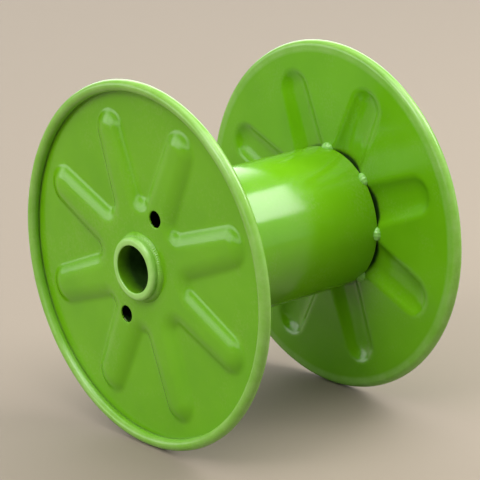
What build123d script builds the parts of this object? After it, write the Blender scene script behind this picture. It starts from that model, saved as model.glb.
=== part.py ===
"""Pressed-steel cable reel, standing on its rims with the axle line level.

Frame: origin at the middle of the bore, +Y along the bore axis, +Z up, +X to the right
when the front flange (on the -Y side) is looked at square on. All sizes in millimetres.

Pieces
  flange_front  one sheet, pressed outward into a central plateau with eight radial ribs,
                its edge curled outward into a round bead, one hub hole, two driving holes
  flange_back   the same pressing, turned to face the other way
  barrel        rolled sheet tube between the flanges, butted against the eight lands
                that are left between the ribs
  hub_tube      thick tube through both flanges, carries the reel on an arbor
"""

from build123d import *
import math
import os

# ---- driving dimensions ------------------------------------------------------
flange_d = 500.0        # over the curled rim
traverse = 325.0        # between the inner faces of the flanges
overall_w = 375.0       # over the ends of the hub tube
sheet_t = 3.0           # flange sheet

bead_d = 16.0           # outside of the curled rim
curl_end = 205.0        # degrees of curl, counted from the rim's widest line

emboss = 8.5            # how far ribs and plateau stand out from the web
slope_w = 14.5          # run of the pressed slope in plan, before its bends
rib_count = 8
rib_phase = 19.5        # degrees from +X towards +Z
rib_tip_r = 213.0       # outer end of a rib's slope
rib_end_w = 56.0        # rib width near its outer end
rib_root_w = 68.0       # width that the rib's sides open to at the axle
land_tip_r = 8.0        # rounding of the lands between ribs, next to the plateau
foot_bend = 15.5        # radius of the outer face where a rib rises from the web
crown_bend = 42.5       # radius of the outer face over a rib's rounded top

hub_od = 86.0
hub_edge = 5.5          # rounding of the hub tube's outer edges
bore_d = 64.0
bore_edge = 2.0         # rounding of the bore's mouths
drive_pcd = 160.0       # driving holes, on the line of two opposite ribs
drive_d = 23.0
drive_line = rib_phase + 45.0

barrel_od = 202.0
barrel_t = 3.0

# ---- derived -----------------------------------------------------------------
bead_r = bead_d / 2
curl_r = bead_r - sheet_t           # inside of the curl
bead_c = flange_d / 2 - bead_r      # radius that the bead is centred on
inner_y = traverse / 2              # inner face of a flange
web_y = inner_y + sheet_t           # outer face of its web
slope_angle = math.degrees(math.atan2(slope_w, emboss))
slope_len = math.hypot(slope_w, emboss)
# the inside of a pressed slope lies one sheet thickness from its outside
shift = sheet_t * emboss / slope_len - sheet_t * (1 - slope_w / slope_len) * slope_w / emboss


def rib_corners(shrink):
    """Tangent points of a rib's straight sides on its end circle and its root circle."""
    end_r = rib_end_w / 2 - shrink
    root_r = rib_root_w / 2 - shrink
    end_c = rib_tip_r - rib_end_w / 2
    lean = math.asin((root_r - end_r) / end_c)
    s, c = math.sin(lean), math.cos(lean)
    return (root_r * s, root_r * c), (end_c + end_r * s, end_r * c), (end_c + end_r, 0)


def curl_point(radius, degrees):
    """Point of the curled rim's section, as (radius, y), for the front flange."""
    a = math.radians(degrees)
    return (bead_c + radius * math.cos(a), -(inner_y + bead_r + radius * math.sin(a)))


# ---- one rib in plan, outside and inside of the sheet ------------------------
root, side, tip = rib_corners(0.0)
with BuildSketch(Plane.XY) as rib_outside:
    with BuildLine():
        Polyline((side[0], -side[1]), (root[0], -root[1]), (0, 0), root, side)
        ThreePointArc(side, tip, (side[0], -side[1]))
    make_face()

root, side, tip = rib_corners(shift)
with BuildSketch(Plane.XY) as rib_inside:
    with BuildLine():
        Polyline((side[0], -side[1]), (root[0], -root[1]), (0, 0), root, side)
        ThreePointArc(side, tip, (side[0], -side[1]))
    make_face()

# ---- the eight-ribbed plateau in plan ----------------------------------------
# the plane's normal is -Y, its x is +X and its y is +Z
outer_web = Plane(origin=(0, -web_y, 0), x_dir=(1, 0, 0), z_dir=(0, -1, 0))
inner_web = Plane(origin=(0, -inner_y, 0), x_dir=(1, 0, 0), z_dir=(0, -1, 0))

with BuildSketch(outer_web) as star_outside:
    with PolarLocations(0, rib_count, start_angle=rib_phase):
        add(rib_outside.sketch)
    fillet(star_outside.vertices().sort_by(lambda v: math.hypot(v.X, v.Y))[:rib_count], land_tip_r)

with BuildSketch(inner_web) as star_inside:
    with PolarLocations(0, rib_count, start_angle=rib_phase):
        add(rib_inside.sketch)
    fillet(star_inside.vertices().sort_by(lambda v: math.hypot(v.X, v.Y))[:rib_count], land_tip_r + shift)

# ---- flange_front ------------------------------------------------------------
with BuildPart() as flange_front:
    # web and curled rim, turned about the axle
    with BuildSketch(Plane.XY) as section:
        with BuildLine():
            Line((hub_od / 2, -inner_y), (bead_c, -inner_y))
            ThreePointArc(curl_point(bead_r, -90), curl_point(bead_r, 60), curl_point(bead_r, curl_end))
            Line(curl_point(bead_r, curl_end), curl_point(curl_r, curl_end))
            ThreePointArc(curl_point(curl_r, curl_end), curl_point(curl_r, 60), curl_point(curl_r, -90))
            Line((bead_c, -web_y), (hub_od / 2, -web_y))
            Line((hub_od / 2, -web_y), (hub_od / 2, -inner_y))
        make_face()
    revolve(axis=Axis.Y)
    # the pressing, outside and inside
    extrude(star_outside.sketch, amount=emboss, taper=slope_angle)
    extrude(star_inside.sketch, amount=emboss, taper=slope_angle, mode=Mode.SUBTRACT)
    for offset_out, bend in (
        (sheet_t, foot_bend),
        (sheet_t + emboss, crown_bend),
        (0.0, foot_bend + sheet_t),
        (emboss, crown_bend - sheet_t),
    ):
        y = -(inner_y + offset_out)
        ring = flange_front.edges().filter_by_position(Axis.Y, y - 0.01, y + 0.01)
        ring = ring.filter_by(lambda e: 60 < math.hypot((e @ 0.5).X, (e @ 0.5).Z) < 220)
        print("bend at", offset_out, len(ring), "edges")
        fillet(ring, bend)
    # hub hole and the two driving holes
    with BuildSketch(inner_web):
        Circle(hub_od / 2)
        with PolarLocations(drive_pcd / 2, 2, start_angle=drive_line):
            Circle(drive_d / 2)
    extrude(amount=sheet_t + emboss + 1, mode=Mode.SUBTRACT)
flange_front.part.label = "flange_front"

# ---- flange_back -------------------------------------------------------------
with BuildPart() as flange_back:
    mirror(flange_front.part, about=Plane.XZ)
flange_back.part.label = "flange_back"

# ---- barrel ------------------------------------------------------------------
with BuildPart() as barrel:
    with BuildSketch(Plane.XZ):
        Circle(barrel_od / 2)
        Circle(barrel_od / 2 - barrel_t, mode=Mode.SUBTRACT)
    extrude(amount=traverse / 2, both=True)
barrel.part.label = "barrel"

# ---- hub_tube ----------------------------------------------------------------
with BuildPart() as hub_tube:
    with BuildSketch(Plane.XZ):
        Circle(hub_od / 2)
        Circle(bore_d / 2, mode=Mode.SUBTRACT)
    extrude(amount=overall_w / 2, both=True)
    ends = hub_tube.edges().filter_by(GeomType.CIRCLE)
    fillet(ends.filter_by(lambda e: e.radius > hub_od / 2 - 1), hub_edge)
    ends = hub_tube.edges().filter_by(GeomType.CIRCLE)
    fillet(ends.filter_by(lambda e: abs(e.radius - bore_d / 2) < 0.5), bore_edge)
hub_tube.part.label = "hub_tube"

os.makedirs("parts", exist_ok=True)
export_step(flange_front.part, "parts/flange_front.step")
export_step(flange_back.part, "parts/flange_back.step")
export_step(barrel.part, "parts/barrel.step")
export_step(hub_tube.part, "parts/hub_tube.step")

for piece in (flange_front, flange_back, barrel, hub_tube):
    print(piece.part.label, round(piece.part.volume * 7.85e-6, 2), "kg")
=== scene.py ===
"""Looks of the pressed-steel cable reel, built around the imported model. Metres, +Y along the bore."""
import math
import bpy
import numpy as np
from mathutils import Matrix, Vector


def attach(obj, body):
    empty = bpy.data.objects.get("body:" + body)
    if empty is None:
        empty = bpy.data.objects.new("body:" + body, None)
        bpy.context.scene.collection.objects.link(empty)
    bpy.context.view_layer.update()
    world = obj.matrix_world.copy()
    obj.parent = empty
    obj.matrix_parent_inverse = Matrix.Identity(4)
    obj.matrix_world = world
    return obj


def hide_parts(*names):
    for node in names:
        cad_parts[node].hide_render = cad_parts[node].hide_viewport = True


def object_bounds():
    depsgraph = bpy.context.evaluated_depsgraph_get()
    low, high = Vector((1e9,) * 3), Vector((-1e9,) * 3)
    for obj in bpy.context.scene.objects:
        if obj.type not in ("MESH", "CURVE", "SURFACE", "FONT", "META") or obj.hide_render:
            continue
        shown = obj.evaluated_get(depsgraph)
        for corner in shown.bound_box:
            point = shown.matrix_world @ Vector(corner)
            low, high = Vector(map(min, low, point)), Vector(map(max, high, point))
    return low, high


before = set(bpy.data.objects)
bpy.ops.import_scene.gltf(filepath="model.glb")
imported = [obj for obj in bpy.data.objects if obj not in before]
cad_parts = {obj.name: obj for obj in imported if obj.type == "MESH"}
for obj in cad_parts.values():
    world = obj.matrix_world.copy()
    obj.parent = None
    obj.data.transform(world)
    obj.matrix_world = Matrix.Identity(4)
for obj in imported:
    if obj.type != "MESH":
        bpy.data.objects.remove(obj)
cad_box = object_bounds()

MM = 0.001

# ---- sizes, as in the CAD model ----------------------------------------------
SHEET = 3.0
RIM_R = 249.95
BEAD_R = 8.0
BEAD_C = RIM_R - BEAD_R
CURL_END = 205.0
INNER_Y = 162.5
EMBOSS = 8.5
SLOPE_W = 14.5
BEND_FOOT = 17.0
BEND_TOP = 41.0
RIBS = 8
PHASE = math.radians(19.5)
RIB_ROOT_R = 34.0
RIB_END_R = 28.0
RIB_END_C = 185.0
LAND_TIP = 8.0
HUB_R = 43.0
HUB_EDGE = 5.5
BORE_R = 32.0
BORE_EDGE = 2.0
HALF_W = 187.5
DRIVE_R = 80.0
DRIVE_HOLE_R = 11.5
DRIVE_AT = [math.radians(64.5), math.radians(244.5)]
BARREL_R = 101.0
BARREL_T = 3.0


# ---- helpers -----------------------------------------------------------------
def make_mesh(name, verts, faces, sharp=35.0):
    """verts in millimetres, numpy (n, 3); faces a list of numpy arrays of 3 or 4 columns."""
    mesh = bpy.data.meshes.new(name)
    verts = np.asarray(verts, float) * MM
    loops = np.concatenate([f.ravel() for f in faces])
    sizes = np.concatenate([np.full(len(f), f.shape[1]) for f in faces])
    starts = np.concatenate([[0], np.cumsum(sizes)[:-1]])
    mesh.vertices.add(len(verts))
    mesh.vertices.foreach_set("co", verts.ravel())
    mesh.loops.add(len(loops))
    mesh.loops.foreach_set("vertex_index", loops.astype(np.int32))
    mesh.polygons.add(len(sizes))
    mesh.polygons.foreach_set("loop_start", starts.astype(np.int32))
    mesh.update(calc_edges=True)
    mesh.validate()
    mesh.polygons.foreach_set("use_smooth", np.ones(len(mesh.polygons), bool))
    mesh.set_sharp_from_angle(angle=math.radians(sharp))
    obj = bpy.data.objects.new(name, mesh)
    bpy.context.scene.collection.objects.link(obj)
    return obj


def grid_faces(rows, cols, wrap_rows, wrap_cols, flip=False):
    """Quads of a grid of rows x cols vertices, numbered row by row."""
    r = np.arange(rows if wrap_rows else rows - 1)
    c = np.arange(cols if wrap_cols else cols - 1)
    r, c = np.meshgrid(r, c, indexing="ij")
    r2, c2 = (r + 1) % rows, (c + 1) % cols
    quads = np.stack([r * cols + c, r * cols + c2, r2 * cols + c2, r2 * cols + c], -1).reshape(-1, 4)
    return quads[:, ::-1] if flip else quads


def finish_piece(obj, material, *nodes, slot="green_paint"):
    obj.data.materials.append(material)
    if nodes:
        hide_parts(*nodes)
    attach(obj, "root")
    return obj


# ---- the pressing ------------------------------------------------------------
def rib_sdf(x, z, turn):
    """Distance outside one tapered rib whose centre line runs from the axle outward."""
    c, s = math.cos(turn), math.sin(turn)
    along = x * c + z * s
    across = np.abs(-x * s + z * c)
    b = (RIB_ROOT_R - RIB_END_R) / RIB_END_C
    a = math.sqrt(1 - b * b)
    k = -b * across + a * along
    mid = a * across + b * along - RIB_ROOT_R
    end = np.hypot(across, along - RIB_END_C) - RIB_END_R
    root = np.hypot(across, along) - RIB_ROOT_R
    return np.where(k < 0, root, np.where(k > a * RIB_END_C, end, mid))


def star_depth(x, z):
    """How far inside the ribbed plateau a point lies, in plan, with the lands' tips rounded."""
    d = np.stack([rib_sdf(x, z, PHASE + i * 2 * math.pi / RIBS) for i in range(RIBS)])
    d.sort(axis=0)
    # p and q: how far short of a land's two sides, each moved in by the tip's radius
    p, q = LAND_TIP - d[0], LAND_TIP - d[1]
    k = -math.cos(2 * math.pi / RIBS + 2 * math.asin((RIB_ROOT_R - RIB_END_R) / RIB_END_C))
    corner = np.sqrt(np.clip(p * p + q * q - 2 * k * p * q, 0, None) / (1 - k * k))
    return np.where((q > p * k) & (p > 0) & (q > k * p) & (p > k * q), corner, p) - LAND_TIP


def slope_profile(u, run=SLOPE_W, rise=EMBOSS, low_r=BEND_FOOT, high_r=BEND_TOP):
    """Height of the pressed slope at u past its foot: bend, straight slope, wide bend."""
    ang = math.atan2(rise, run)
    t, s = low_r * math.tan(ang / 2), high_r * math.tan(ang / 2)
    x1, x2 = t * math.cos(ang), run - s * math.cos(ang)
    low = low_r - np.sqrt(np.clip(low_r**2 - (u + t) ** 2, 0, None))
    high = rise - high_r + np.sqrt(np.clip(high_r**2 - (run + s - u) ** 2, 0, None))
    mid = u * rise / run
    return np.where(u < -t, 0, np.where(u < x1, low, np.where(u < x2, mid, np.where(u < run + s, high, rise))))


def waviness(r, th, seed):
    """Low, wide unevenness that pressing leaves in the sheet, in millimetres."""
    g = np.clip((r - 60) / 120, 0, 1) * np.clip((236 - r) / 30, 0, 1)
    rng = np.random.default_rng(seed)
    w = np.zeros_like(r)
    # the lands between the ribs bow a little
    w += -0.35 * np.cos(RIBS * (th - PHASE)) * g * np.exp(-(((r - 190) / 45) ** 2))
    for k, amp in ((2, 0.30), (3, 0.22), (5, 0.14), (7, 0.08), (11, 0.05), (13, 0.04)):
        p, q = rng.uniform(0, 2 * math.pi, 2)
        w += amp * np.cos(k * th + p) * g * (0.6 + 0.4 * np.sin(r / 28 + q))
    return w


def punch(verts, quads, tris, centre, radius, height, seg=56):
    """Takes the faces over a round hole out of both faces of the sheet and puts in the hole's wall,
    its two edges a little rounded."""
    cx, cz = centre
    near = np.hypot(verts[:, 0] - cx, verts[:, 2] - cz) < radius + 1.7
    out = near[quads].any(1)
    gone = quads[out]
    edges = {}
    for quad in gone:
        for k in range(4):
            edges[(int(quad[k]), int(quad[(k + 1) % 4]))] = True
    follow = {a: b for a, b in edges if (b, a) not in edges}
    loops = []
    while follow:
        first = next(iter(follow))
        loop, at = [first], follow.pop(first)
        while at != first:
            loop.append(at)
            at = follow.pop(at)
        loops.append(loop)
    loops.sort(key=lambda lp: -verts[lp, 1].mean())

    turn = np.linspace(0, 2 * math.pi, seg, endpoint=False)
    wall = [(0.7, 1, 0.0), (0.25, 1, -0.25), (0.0, 1, -0.8), (0.0, -1, 0.8), (0.25, -1, 0.25), (0.7, -1, 0.0)]
    base, rows = len(verts), []
    for wide, face, shift_y in wall:
        x, z = cx + (radius + wide) * np.cos(turn), cz + (radius + wide) * np.sin(turn)
        rows.append(np.stack([x, height(x, z) + SHEET / 2 + face * SHEET / 2 + shift_y, z], -1))
    verts = np.concatenate([verts] + rows)
    ring = [base + i * seg + np.arange(seg) for i in range(len(wall))]

    def angle(i):
        return math.atan2(verts[i, 2] - cz, verts[i, 0] - cx)

    new = []
    for loop, circle in ((loops[0], list(ring[0])), (loops[1], list(ring[-1]))):
        steps = [(angle(loop[(k + 1) % len(loop)]) - angle(loop[k]) + math.pi) % (2 * math.pi) - math.pi for k in range(len(loop))]
        way = 1 if sum(steps) > 0 else -1
        if way < 0:
            circle = circle[::-1]
        start = min(range(seg), key=lambda k: abs((angle(circle[k]) - angle(loop[0]) + math.pi) % (2 * math.pi) - math.pi))
        circle = circle[start:] + circle[:start]
        i = j = 0
        gone_loop, gone_ring = 0.0, ((angle(circle[0]) - angle(loop[0]) + math.pi) % (2 * math.pi) - math.pi) * way
        step = 2 * math.pi / seg
        while i < len(loop) or j < seg:
            a, p = loop[i % len(loop)], circle[j % seg]
            next_loop = gone_loop + (steps[i] * way if i < len(loop) else 99)
            if j >= seg or (i < len(loop) and next_loop <= gone_ring + step):
                new.append((a, loop[(i + 1) % len(loop)], p))
                gone_loop, i = next_loop, i + 1
            else:
                new.append((a, circle[(j + 1) % seg], p))
                gone_ring, j = gone_ring + step, j + 1
    # the wall follows the way that the upper ring is left open
    q = np.arange(seg)
    way_up = any(t[1] == ring[0][1] and t[2] == ring[0][0] for t in new)
    wall_quads = []
    for hi, lo in zip(ring[:-1], ring[1:]):
        a, b, c, d = hi, hi[(q + 1) % seg], lo[(q + 1) % seg], lo
        wall_quads.append(np.stack([a, b, c, d] if way_up else [b, a, d, c], -1))
    quads = np.concatenate([quads[~out]] + wall_quads)
    return verts, quads, np.concatenate([tris, np.array(new)])


def crowded(lo, hi, count, density):
    """count values from lo to hi, crowded where density is high; density may have several rows."""
    fine = np.linspace(lo, hi, 801)
    w = density(fine)
    cum = np.concatenate([np.zeros(w.shape[:-1] + (1,)), np.cumsum((w[..., 1:] + w[..., :-1]) / 2, -1)], -1)
    cum /= cum[..., -1:]
    want = np.linspace(0, 1, count)
    if cum.ndim == 1:
        return np.interp(want, cum, fine)
    return np.stack([np.interp(want, c, fine) for c in cum])


def flange(name, side, seed, radial=88, half_rib=28, curl=22):
    """side is -1 for the front flange and +1 for the back one."""
    # rings crowd round the lands' tips and the ribs' ends, and angles crowd on the pressed slopes
    r = crowded(HUB_R, BEAD_C - 1.0, radial,
                lambda q: 0.35 + 0.45 * np.exp(-(((q - 86) / 16) ** 2)) + np.exp(-(((q - 200) / 17) ** 2)))

    def slope_density(q):
        x, z = r[:, None] * np.cos(PHASE + q), r[:, None] * np.sin(PHASE + q)
        return 0.22 + np.exp(-(((star_depth(x, z) - 9) / 14) ** 2))

    half = crowded(0, math.pi / RIBS, half_rib + 1, slope_density)
    whole = np.concatenate([half[:, :-1], 2 * math.pi / RIBS - half[:, :0:-1]], -1)
    T = np.concatenate([PHASE + i * 2 * math.pi / RIBS + whole for i in range(RIBS)], -1)
    around = T.shape[1]
    th = PHASE + np.linspace(0, 2 * math.pi, around, endpoint=False)
    T = T + (th[None, :] - T) * np.clip((r - 222) / 14, 0, 1)[:, None]
    R = r[:, None] * np.ones(around)
    X, Z = R * np.cos(T), R * np.sin(T)

    def height(x, z):
        rr, tt = np.hypot(x, z), np.arctan2(z, x)
        return slope_profile(star_depth(x, z)) + waviness(rr, tt, seed)

    e = 0.25
    H = height(X, Z)
    HX = (height(X + e, Z) - height(X - e, Z)) / (2 * e)
    HZ = (height(X, Z + e) - height(X, Z - e)) / (2 * e)
    N = np.stack([-HX, np.ones_like(HX), -HZ], -1)
    N /= np.linalg.norm(N, axis=-1, keepdims=True)
    # the outermost rings run straight into the curl
    fade = np.clip((R - 236) / 5, 0, 1)[..., None]
    N = N * (1 - fade) + np.array([0, 1.0, 0]) * fade
    H = H * (1 - fade[..., 0])
    N[0] = [0, 1, 0]
    mid = np.stack([X, H + SHEET / 2, Z], -1)
    outer = mid + N * SHEET / 2
    inner = mid - N * SHEET / 2

    # the curl, outside then inside of the sheet, with a rounded end
    deg = np.linspace(-90, CURL_END, curl)
    out_curl = [(BEAD_C + BEAD_R * math.cos(math.radians(d)), BEAD_R + BEAD_R * math.sin(math.radians(d))) for d in deg]
    in_curl = [
        (BEAD_C + (BEAD_R - SHEET) * math.cos(math.radians(d)), BEAD_R + (BEAD_R - SHEET) * math.sin(math.radians(d)))
        for d in np.linspace(CURL_END, -90, 9)
    ]
    mid_r = BEAD_R - SHEET / 2
    e_ang = math.radians(CURL_END)
    tip = []
    for a in (40, 90, 140):
        # half circle over the sheet's cut edge, kept short
        rad = mid_r + SHEET / 2 * math.cos(math.radians(a))
        fwd = 0.45 * SHEET / 2 * math.sin(math.radians(a)) / mid_r
        tip.append((BEAD_C + rad * math.cos(e_ang + fwd), BEAD_R + rad * math.sin(e_ang + fwd)))
    loop = out_curl + tip + in_curl
    CR = np.array([p[0] for p in loop])[:, None] * np.ones(around)
    CY = np.array([p[1] for p in loop])[:, None] * np.ones(around)
    # a rolled rim is never quite even
    k = np.clip((CR - BEAD_C + BEAD_R) / (2 * BEAD_R), 0, 1)
    rng = np.random.default_rng(seed + 50)
    p = rng.uniform(0, 2 * math.pi, 5)
    lift = 0.10 * np.cos(5 * th + p[0]) + 0.08 * np.cos(9 * th + p[1]) + 0.05 * np.cos(17 * th + p[2])
    CY = CY + np.clip(CY - SHEET, 0, None) / (2 * BEAD_R) * lift[None, :] * 1.6
    curl_v = np.stack([CR * np.cos(th)[None, :], CY, CR * np.sin(th)[None, :]], -1)

    # one closed loop of rings: inner face outward, the curl, then the outer face inward to the hub hole
    rings = np.concatenate([inner, curl_v, outer[::-1]], 0)
    verts = rings.reshape(-1, 3)
    quads = grid_faces(rings.shape[0], around, True, True)
    tris = np.zeros((0, 3), int)
    for at in DRIVE_AT:
        verts, quads, tris = punch(verts, quads, tris, (DRIVE_R * math.cos(at), DRIVE_R * math.sin(at)), DRIVE_HOLE_R, height)
    # the grid's points over the two holes are in no face now
    used = np.zeros(len(verts), bool)
    used[quads.ravel()] = used[tris.ravel()] = True
    number = np.cumsum(used) - 1
    verts, quads, tris = verts[used], number[quads], number[tris]
    verts[:, 1] = side * (INNER_Y + verts[:, 1])
    if side > 0:
        quads, tris = quads[:, ::-1], tris[:, ::-1]
    return make_mesh(name, verts, [quads, tris])


# ---- turned pieces -----------------------------------------------------------
def turned(name, profile, around=160, displace=None, sharp=35.0):
    """profile is a closed loop of (radius, y) points, turned about the bore axis."""
    th = np.linspace(0, 2 * math.pi, around, endpoint=False)
    pr = np.array([p[0] for p in profile], float)[:, None] * np.ones(around)
    py = np.array([p[1] for p in profile], float)[:, None] * np.ones(around)
    if displace is not None:
        pr, py = displace(pr, py, th[None, :] * np.ones_like(pr))
    verts = np.stack([pr * np.cos(th), py, pr * np.sin(th)], -1).reshape(-1, 3)
    faces = grid_faces(len(profile), around, True, True, flip=True)
    return make_mesh(name, verts, [faces], sharp)


def rounded(corners, radius, steps=4):
    """Closed profile with its corners rounded by arcs of that radius."""
    out = []
    n = len(corners)
    for i in range(n):
        p0, p1, p2 = (np.array(corners[(i + k) % n], float) for k in (-1, 0, 1))
        a, b = p0 - p1, p2 - p1
        la, lb = np.linalg.norm(a), np.linalg.norm(b)
        rad = radius[i] if isinstance(radius, (list, tuple)) else radius
        if rad <= 0:
            out.append(tuple(p1))
            continue
        ang = math.acos(np.clip(a @ b / la / lb, -1, 1))
        t = min(rad / math.tan(ang / 2), 0.49 * min(la, lb))
        s, e = p1 + a / la * t, p1 + b / lb * t
        # an arc from s to e round the centre that both sides share
        inward = (s + e) / 2 - p1
        centre = p1 + inward / np.linalg.norm(inward) * t / math.cos(ang / 2)
        u, w = s - centre, e - centre
        swing = math.acos(np.clip(u @ w / np.linalg.norm(u) / np.linalg.norm(w), -1, 1))
        for k in range(steps + 1):
            q = k / steps
            out.append(tuple(centre + (math.sin((1 - q) * swing) * u + math.sin(q * swing) * w) / math.sin(swing)))
    return out


# ---- paint -------------------------------------------------------------------
def paint(name, base, dark, light, seed=0.0, bore=False, painted_shade_inside=False):
    mat = bpy.data.materials.new(name)
    mat.use_nodes = True
    nt = mat.node_tree
    nt.nodes.clear()
    out = nt.nodes.new("ShaderNodeOutputMaterial")
    bsdf = nt.nodes.new("ShaderNodeBsdfPrincipled")
    nt.links.new(bsdf.outputs["BSDF"], out.inputs["Surface"])
    bsdf.inputs["Metallic"].default_value = 0.0
    bsdf.inputs["IOR"].default_value = 1.48
    bsdf.inputs["Specular IOR Level"].default_value = 0.5
    tc = nt.nodes.new("ShaderNodeTexCoord")
    mp = nt.nodes.new("ShaderNodeMapping")
    mp.inputs["Location"].default_value = (seed, seed * 0.7, -seed * 0.4)
    nt.links.new(tc.outputs["Object"], mp.inputs["Vector"])

    def noise(scale, detail=2.0, rough=0.5, distort=0.0):
        n = nt.nodes.new("ShaderNodeTexNoise")
        n.inputs["Scale"].default_value = scale
        n.inputs["Detail"].default_value = detail
        n.inputs["Roughness"].default_value = rough
        n.inputs["Distortion"].default_value = distort
        nt.links.new(mp.outputs["Vector"], n.inputs["Vector"])
        return n

    def ramp(src, stops):
        r = nt.nodes.new("ShaderNodeValToRGB")
        els = r.color_ramp.elements
        while len(els) < len(stops):
            els.new(0.5)
        for el, (pos, col) in zip(els, stops):
            el.position = pos
            el.color = (*col, 1) if len(col) == 3 else (col[0],) * 3 + (1,)
        nt.links.new(src, r.inputs["Fac"])
        return r

    # film thickness: broad, faint colour change
    broad = noise(9.0, 3.0, 0.55)
    col = ramp(broad.outputs["Fac"], [(0.30, dark), (0.52, base), (0.75, light)])
    # thin dust in patches and fine specks
    dust_big = noise(14.0, 5.0, 0.6, 0.4)
    dust_fine = noise(260.0, 4.0, 0.7)
    mul = nt.nodes.new("ShaderNodeMath")
    mul.operation = "MULTIPLY"
    nt.links.new(dust_big.outputs["Fac"], mul.inputs[0])
    nt.links.new(dust_fine.outputs["Fac"], mul.inputs[1])
    dust = ramp(mul.outputs["Value"], [(0.27, (0, 0, 0)), (0.50, (0.16, 0.16, 0.16))])
    mix = nt.nodes.new("ShaderNodeMix")
    mix.data_type = "RGBA"
    nt.links.new(dust.outputs["Color"], mix.inputs[0])
    nt.links.new(col.outputs["Color"], mix.inputs[6])
    mix.inputs[7].default_value = (0.36, 0.40, 0.16, 1)
    skin = mix.outputs[2]
    pos = nt.nodes.new("ShaderNodeSeparateXYZ")
    nt.links.new(tc.outputs["Object"], pos.inputs[0])

    def math_node(operation, a, b=None, clamp=False):
        node = nt.nodes.new("ShaderNodeMath")
        node.operation = operation
        node.use_clamp = clamp
        for socket, value in zip(node.inputs, (a, b)):
            if value is None:
                continue
            if isinstance(value, (int, float)):
                socket.default_value = value
            else:
                nt.links.new(value, socket)
        return node.outputs[0]

    x, y, z = pos.outputs
    if painted_shade_inside:
        # painted shade: the faces the barrel shuts in, and the channel under the barrel's end, are painted a dark
        # mottled green where shade falls
        geo = nt.nodes.new("ShaderNodeNewGeometry")
        face = nt.nodes.new("ShaderNodeSeparateXYZ")
        nt.links.new(geo.outputs["True Normal"], face.inputs[0])
        radius = math_node("SQRT", math_node("ADD", math_node("MULTIPLY", x, x), math_node("MULTIPLY", z, z)))
        if painted_shade_inside == "flange":
            turned_in = math_node("LESS_THAN", math_node("MULTIPLY", face.outputs[1], y), 0.0)
            # painted highlight: the crest of the curled rim is painted paler in noisy patches, standing in for its
            # glint
            rim_highlight_noise = noise(38.0, 6.0, 0.65)
            rim_highlight_amount = ramp(rim_highlight_noise.outputs["Fac"], [(0.30, (0.12, 0.12, 0.12)), (0.70, (0.38, 0.38, 0.38))])
            on_rim = math_node("DIVIDE", math_node("SUBTRACT", radius, 0.2325), 0.0045, True)
            mix4 = nt.nodes.new("ShaderNodeMix")
            mix4.data_type = "RGBA"
            nt.links.new(math_node("MULTIPLY", on_rim, rim_highlight_amount.outputs["Color"]), mix4.inputs[0])
            nt.links.new(skin, mix4.inputs[6])
            mix4.inputs[7].default_value = (0.36, 0.52, 0.20, 1.0)
            skin = mix4.outputs[2]
        else:
            turned_in = math_node("LESS_THAN", radius, (BARREL_R - 1.5) * MM)
        ragged = noise(60.0, 4.0, 0.6)
        radius = math_node("ADD", radius, math_node("MULTIPLY", math_node("SUBTRACT", ragged.outputs["Fac"], 0.5), 0.006))
        # painted shade mask: dark beneath a ragged line just outside the barrel's radius, on faces turned in
        painted_shade_mask = math_node("DIVIDE", math_node("SUBTRACT", (BARREL_R + 2.5) * MM, radius), 0.005, True)
        # the dark mottled green of the painted shade
        scale = noise(90.0, 5.0, 0.6)
        painted_shade_colour = ramp(scale.outputs["Fac"], [(0.35, (0.006, 0.022, 0.005)), (0.70, (0.018, 0.042, 0.012))])
        mix2 = nt.nodes.new("ShaderNodeMix")
        mix2.data_type = "RGBA"
        nt.links.new(math_node("MULTIPLY", math_node("MULTIPLY", painted_shade_mask, turned_in), 0.93), mix2.inputs[0])
        nt.links.new(skin, mix2.inputs[6])
        nt.links.new(painted_shade_colour.outputs["Color"], mix2.inputs[7])
        skin = mix2.outputs[2]
    if bore:
        # painted shade: inside the bore the colour fades to a dark mottled green a little way in
        radius = math_node("SQRT", math_node("ADD", math_node("MULTIPLY", x, x), math_node("MULTIPLY", z, z)))
        inside = math_node("LESS_THAN", radius, (BORE_R + 0.35) * MM)
        depth = math_node("SUBTRACT", HALF_W * MM, math_node("ABSOLUTE", y))
        ragged = noise(55.0, 4.0, 0.6)
        depth = math_node("ADD", depth, math_node("MULTIPLY", math_node("SUBTRACT", ragged.outputs["Fac"], 0.5), 0.012))
        fade = math_node("MULTIPLY", math_node("DIVIDE", math_node("ADD", depth, 0.004), 0.026, True), inside)
        scale = noise(90.0, 5.0, 0.6)
        painted_shade_colour = ramp(scale.outputs["Fac"], [(0.35, (0.008, 0.026, 0.005)), (0.70, (0.020, 0.048, 0.012))])
        mix2 = nt.nodes.new("ShaderNodeMix")
        mix2.data_type = "RGBA"
        nt.links.new(math_node("MULTIPLY", fade, 0.94), mix2.inputs[0])
        nt.links.new(skin, mix2.inputs[6])
        nt.links.new(painted_shade_colour.outputs["Color"], mix2.inputs[7])
        skin = mix2.outputs[2]
        # painted highlight: the hub's outer surfaces are painted paler towards its ends, strongest on the lips
        outside = math_node("SUBTRACT", 1.0, inside)
        lip_highlight = math_node("SUBTRACT", 1.0, math_node("DIVIDE", depth, 0.012, True), True)
        lip_highlight = math_node("MULTIPLY", math_node("MULTIPLY", lip_highlight, outside), 0.72)
        mix3 = nt.nodes.new("ShaderNodeMix")
        mix3.data_type = "RGBA"
        nt.links.new(lip_highlight, mix3.inputs[0])
        nt.links.new(skin, mix3.inputs[6])
        mix3.inputs[7].default_value = (0.34, 0.60, 0.17, 1.0)
        skin = mix3.outputs[2]
    nt.links.new(skin, bsdf.inputs["Base Color"])
    # gloss enamel, a little duller in dusty patches
    rr = ramp(mul.outputs["Value"], [(0.20, (0.13, 0.13, 0.13)), (0.50, (0.26, 0.26, 0.26))])
    nt.links.new(rr.outputs["Color"], bsdf.inputs["Roughness"])
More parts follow.
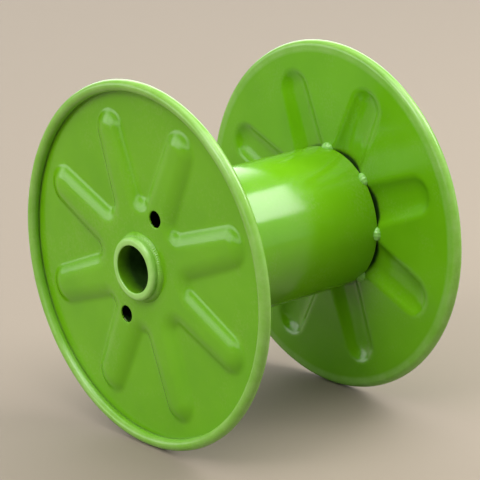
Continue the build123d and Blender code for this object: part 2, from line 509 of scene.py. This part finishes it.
    # fine orange peel over a slow flow of the film
    peel = noise(330.0, 1.0, 0.4)
    flow = noise(45.0, 1.0, 0.4)
    add = nt.nodes.new("ShaderNodeMath")
    add.operation = "MULTIPLY_ADD"
    nt.links.new(flow.outputs["Fac"], add.inputs[0])
    add.inputs[1].default_value = 2.5
    nt.links.new(peel.outputs["Fac"], add.inputs[2])
    bump = nt.nodes.new("ShaderNodeBump")
    bump.inputs["Strength"].default_value = 0.35
    bump.inputs["Distance"].default_value = 0.0001
    nt.links.new(add.outputs["Value"], bump.inputs["Height"])
    nt.links.new(bump.outputs["Normal"], bsdf.inputs["Normal"])
    return mat


GREEN = (0.124, 0.352, 0.0035)
GREEN_DARK = (0.111, 0.326, 0.003)
GREEN_LIGHT = (0.138, 0.378, 0.006)
# flange and barrel paints carry painted shade inside the barrel; the flange's also a painted highlight on its rim crest
mat_flange = paint("green_enamel_flange", GREEN, GREEN_DARK, GREEN_LIGHT, 1.3, painted_shade_inside="flange")
mat_barrel = paint("green_enamel_barrel", GREEN, GREEN_DARK, GREEN_LIGHT, 4.1, painted_shade_inside="barrel")
# painted highlight: the land welds' paint is paler than the rest, standing in for glints on the beads
mat_weld_glint = paint("green_enamel_weld", (0.20, 0.47, 0.08), (0.16, 0.42, 0.05), (0.25, 0.52, 0.12), 2.9)
# the hub paint carries painted shade inside the bore and a painted highlight on its outer lips
mat_hub = paint("green_enamel_hub", GREEN, GREEN_DARK, GREEN_LIGHT, 7.7, bore=True)

# ---- pieces ------------------------------------------------------------------
finish_piece(flange("flange_front_pressing", -1, 11), mat_flange, "flange_front")
finish_piece(flange("flange_back_pressing", +1, 23), mat_flange, "flange_back")

# barrel: rolled sheet, its seam ground nearly flush on the side away from the front view
SEAM = math.radians(238)


def barrel_shape(pr, py, th):
    d = (th - SEAM + math.pi) % (2 * math.pi) - math.pi
    arc = d * BARREL_R
    skin = (pr > BARREL_R - 1.5)
    ripple = 0.12 * np.sin(py / 1.9 + 0.6 * np.sin(py / 23))
    bead = np.clip(1 - (arc / 3.2) ** 2, 0, None) ** 0.5 * (0.75 + ripple)
    flat = -0.35 * np.exp(-((arc / 16) ** 2))
    roll = 0.10 * np.cos(3 * th + 0.4) + 0.07 * np.cos(8 * th + 1.1) + 0.03 * np.cos(19 * th)
    ends = np.clip((INNER_Y - np.abs(py)) / 6, 0, 1)
    pr = pr - 0.22 + (roll * 0.8 + flat) * ends + np.where(skin, bead * ends, 0)
    return pr, py


ys = np.linspace(-INNER_Y, INNER_Y, 150)
barrel_loop = [(BARREL_R, y) for y in ys] + [(BARREL_R - BARREL_T, y) for y in ys[::-1]]
finish_piece(turned("barrel_shell", barrel_loop, 300, barrel_shape), mat_barrel, "barrel")

# hub tube with its rounded mouths
hub_corners = [(HUB_R, -HALF_W), (HUB_R, HALF_W), (BORE_R, HALF_W), (BORE_R, -HALF_W)]
hub_loop = rounded(hub_corners, [HUB_EDGE, HUB_EDGE, BORE_EDGE, BORE_EDGE], 8)
finish_piece(turned("hub_tube_body", hub_loop, 160), mat_hub, "hub_tube")


# ---- welds -------------------------------------------------------------------
def hub_weld(name, side):
    """Fillet weld round the tube where it leaves the plateau."""
    around, prof_n = 480, 12
    th = np.linspace(0, 2 * math.pi, around, endpoint=False)
    leg = 5.0 + 0.3 * np.cos(3 * th + 0.5) + 0.2 * np.cos(7 * th)
    ripple = 0.14 * np.cos(th * 96 + 0.8 * np.sin(5 * th))
    y0 = INNER_Y + SHEET + EMBOSS
    rows = []
    for k in range(prof_n):
        q = k / (prof_n - 1) * math.pi / 2
        rad = leg * np.cos(q) ** 1.5 + ripple * math.sin(2 * q)
        up = leg * math.sin(q) ** 1.5 + ripple * math.sin(2 * q)
        rows.append((HUB_R + np.maximum(rad, 0), y0 + np.maximum(up, 0)))
    # the root, sunk into the joint
    rows.append((np.full(around, HUB_R - 0.6), np.full(around, y0 + leg * 0.6)))
    rows.append((np.full(around, HUB_R - 0.6), np.full(around, y0 - 0.8)))
    rows.append((HUB_R + leg * 0.8, np.full(around, y0 - 0.8)))
    R = np.array([r for r, _ in rows])
    Y = side * np.array([y for _, y in rows])
    verts = np.stack([R * np.cos(th), Y, R * np.sin(th)], -1).reshape(-1, 3)
    faces = grid_faces(len(rows), around, True, True, flip=(side > 0))
    return make_mesh(name, verts, [faces], 60)


def land_welds(name, side, seed):
    """Short fillet beads where the barrel's end meets each land between the ribs."""
    rng = np.random.default_rng(seed)
    verts, faces, base = [], [], 0
    for i in range(RIBS):
        centre = PHASE + (i + 0.5) * 2 * math.pi / RIBS + rng.uniform(-0.012, 0.012)
        half = (10.2 + rng.uniform(-1.0, 1.2)) / BARREL_R
        n, m = 40, 10
        t = np.linspace(-1, 1, n)
        env = np.sqrt(np.clip(1 - t**2, 0, 1)) ** 1.2
        leg = (6.9 + rng.uniform(-0.5, 0.6)) * env * (1 + 0.04 * np.cos(t * 13 + rng.uniform(0, 6)))
        th = centre + t * half
        rows = []
        for k in range(m):
            q = k / (m - 1) * math.pi / 2
            rows.append((BARREL_R - 0.3 + leg * math.cos(q), INNER_Y + 0.15 - leg * math.sin(q)))
        rows.append((np.full(n, BARREL_R - 1.2), INNER_Y + 0.15 - leg * 0.7))
        rows.append((np.full(n, BARREL_R - 1.2), np.full(n, INNER_Y + 0.6)))
        rows.append((BARREL_R - 0.3 + leg * 0.7, np.full(n, INNER_Y + 0.6)))
        R = np.array([r for r, _ in rows])
        Y = side * np.array([y for _, y in rows])
        v = np.stack([R * np.cos(th), Y, R * np.sin(th)], -1).reshape(-1, 3)
        rows_n = len(rows)
        f = grid_faces(rows_n, n, True, False, flip=(side < 0))
        cap0 = (np.arange(rows_n) * n)[None, ::-1]
        cap1 = (np.arange(rows_n) * n + n - 1)[None, :]
        if side > 0:
            cap0, cap1 = cap0[:, ::-1], cap1[:, ::-1]
        verts.append(v)
        faces.append((f + base, cap0 + base, cap1 + base))
        base += len(v)
    quads = np.concatenate([f[0] for f in faces])
    caps = np.concatenate([c for f in faces for c in (f[1], f[2])])
    return make_mesh(name, np.concatenate(verts), [quads, caps], 60)


finish_piece(hub_weld("hub_weld_front", -1), mat_hub)
finish_piece(hub_weld("hub_weld_back", +1), mat_hub)
finish_piece(land_welds("barrel_welds_front", -1, 5), mat_weld_glint)
finish_piece(land_welds("barrel_welds_back", +1, 6), mat_weld_glint)

# ---- floor -------------------------------------------------------------------
floor_z = cad_box[0][2]
fm = bpy.data.meshes.new("floor")
S = 14.0
fm.from_pydata([(-S, -S, floor_z), (S, -S, floor_z), (S, S, floor_z), (-S, S, floor_z)], [], [(0, 1, 2, 3)])
floor = bpy.data.objects.new("floor", fm)
bpy.context.scene.collection.objects.link(floor)
fmat = bpy.data.materials.new("floor_pale")
fmat.use_nodes = True
fb = fmat.node_tree.nodes["Principled BSDF"]
fb.inputs["Base Color"].default_value = (0.225, 0.187, 0.142, 1)
fb.inputs["Roughness"].default_value = 0.85
floor.data.materials.append(fmat)

# ---- light -------------------------------------------------------------------
world = bpy.data.worlds.new("sky")
bpy.context.scene.world = world
world.use_nodes = True
wn = world.node_tree
wn.nodes.clear()
wo = wn.nodes.new("ShaderNodeOutputWorld")
bg = wn.nodes.new("ShaderNodeBackground")
wtc = wn.nodes.new("ShaderNodeTexCoord")
sep = wn.nodes.new("ShaderNodeSeparateXYZ")
wr = wn.nodes.new("ShaderNodeValToRGB")
# dim round the horizon, lighter overhead
stops = [(0.0, 0.08), (0.50, 0.14), (0.60, 0.18), (0.78, 0.24), (0.92, 0.8), (0.97, 2.6), (1.0, 3.8)]
els = wr.color_ramp.elements
while len(els) < len(stops):
    els.new(0.5)
for el, (pos, c) in zip(els, stops):
    el.position = pos
    el.color = (c, c, c, 1)


def world_math(operation, *values, clamp=False):
    node = wn.nodes.new("ShaderNodeMath")
    node.operation = operation
    node.use_clamp = clamp
    for socket, value in zip(node.inputs, values):
        if isinstance(value, (int, float)):
            socket.default_value = value
        else:
            wn.links.new(value, socket)
    return node.outputs[0]


wn.links.new(wtc.outputs["Generated"], sep.inputs[0])
wn.links.new(world_math("MULTIPLY_ADD", sep.outputs["Z"], 0.5, 0.5), wr.inputs["Fac"])
glow = wr.outputs["Color"]
turn = world_math("ARCTAN2", sep.outputs["Y"], sep.outputs["X"])
lift = world_math("ARCSINE", sep.outputs["Z"])


def soft_edge(value, outer, inner):
    """0 at outer degrees, 1 at inner degrees, smooth between."""
    node = wn.nodes.new("ShaderNodeMapRange")
    node.interpolation_type = "SMOOTHSTEP"
    wn.links.new(value, node.inputs["Value"])
    node.inputs["From Min"].default_value = math.radians(min(outer, inner))
    node.inputs["From Max"].default_value = math.radians(max(outer, inner))
    node.inputs["To Min"].default_value = 0.0 if outer < inner else 1.0
    node.inputs["To Max"].default_value = 1.0 if outer < inner else 0.0
    return node.outputs["Result"]


# soft panels of light: middle azimuth (from +X towards +Y), half width full and half width none,
# elevation of the lower edge (none, full) and of the upper edge (full, none), strength
for mid, full, none, low0, low1, high1, high0, strength in (
    (-138, 10, 28, -6, 1, 14, 30, 2.2),
    (-92, 20, 44, 3, 8, 14, 24, 1.8),
    (-30, 40, 90, 40, 56, 84, 90, 2.2),
    (-84, 14, 28, 28, 36, 48, 58, 6.8),
    (48, 12, 46, -6, 2, 24, 44, 0.8),
    (140, 14, 46, 2, 8, 30, 48, 3.2),
):
    off = world_math("ABSOLUTE", world_math("WRAP", world_math("SUBTRACT", turn, math.radians(mid)), math.pi, -math.pi))
    panel = world_math("MULTIPLY", soft_edge(off, none, full), soft_edge(lift, low0, low1))
    panel = world_math("MULTIPLY", panel, soft_edge(lift, high0, high1))
    glow = world_math("MULTIPLY_ADD", panel, strength, glow)
wn.links.new(glow, bg.inputs["Strength"])
bg.inputs["Color"].default_value = (1.0, 1.0, 1.0, 1)
wn.links.new(bg.outputs[0], wo.inputs[0])


def area(name, place, target, size, power, colour=(1, 1, 1)):
    light = bpy.data.lights.new(name, "AREA")
    light.shape = "RECTANGLE"
    light.size, light.size_y = size
    light.energy = power
    light.color = colour
    o = bpy.data.objects.new(name, light)
    bpy.context.scene.collection.objects.link(o)
    o.location = place
    o.rotation_euler = (Vector(target) - Vector(place)).to_track_quat("-Z", "Y").to_euler()
    return o


area("key", (1.25, 2.3, 2.7), (0, 0, 0), (2.2, 2.2), 120)

# ---- camera ------------------------------------------------------------------
cam_data = bpy.data.cameras.new("camera")
cam = bpy.data.objects.new("camera", cam_data)
bpy.context.scene.collection.objects.link(cam)
place = Vector((2.1847, -1.8712, 0.8520))
view = (-place).normalized()
right = view.cross(Vector((0, 0, 1))).normalized()
up = right.cross(view)
roll = math.radians(-1.72)
right2 = right * math.cos(roll) + up * math.sin(roll)
up2 = right2.cross(view)
m = Matrix((right2, up2, -view)).transposed().to_4x4()
m.translation = place
cam.matrix_world = m
cam_data.sensor_width = 36
cam_data.sensor_fit = "HORIZONTAL"
cam_data.lens = 165
cam_data.clip_end = 60
bpy.context.scene.camera = cam
bpy.context.scene.view_settings.view_transform = "Standard"
bpy.context.scene.view_settings.look = "None"
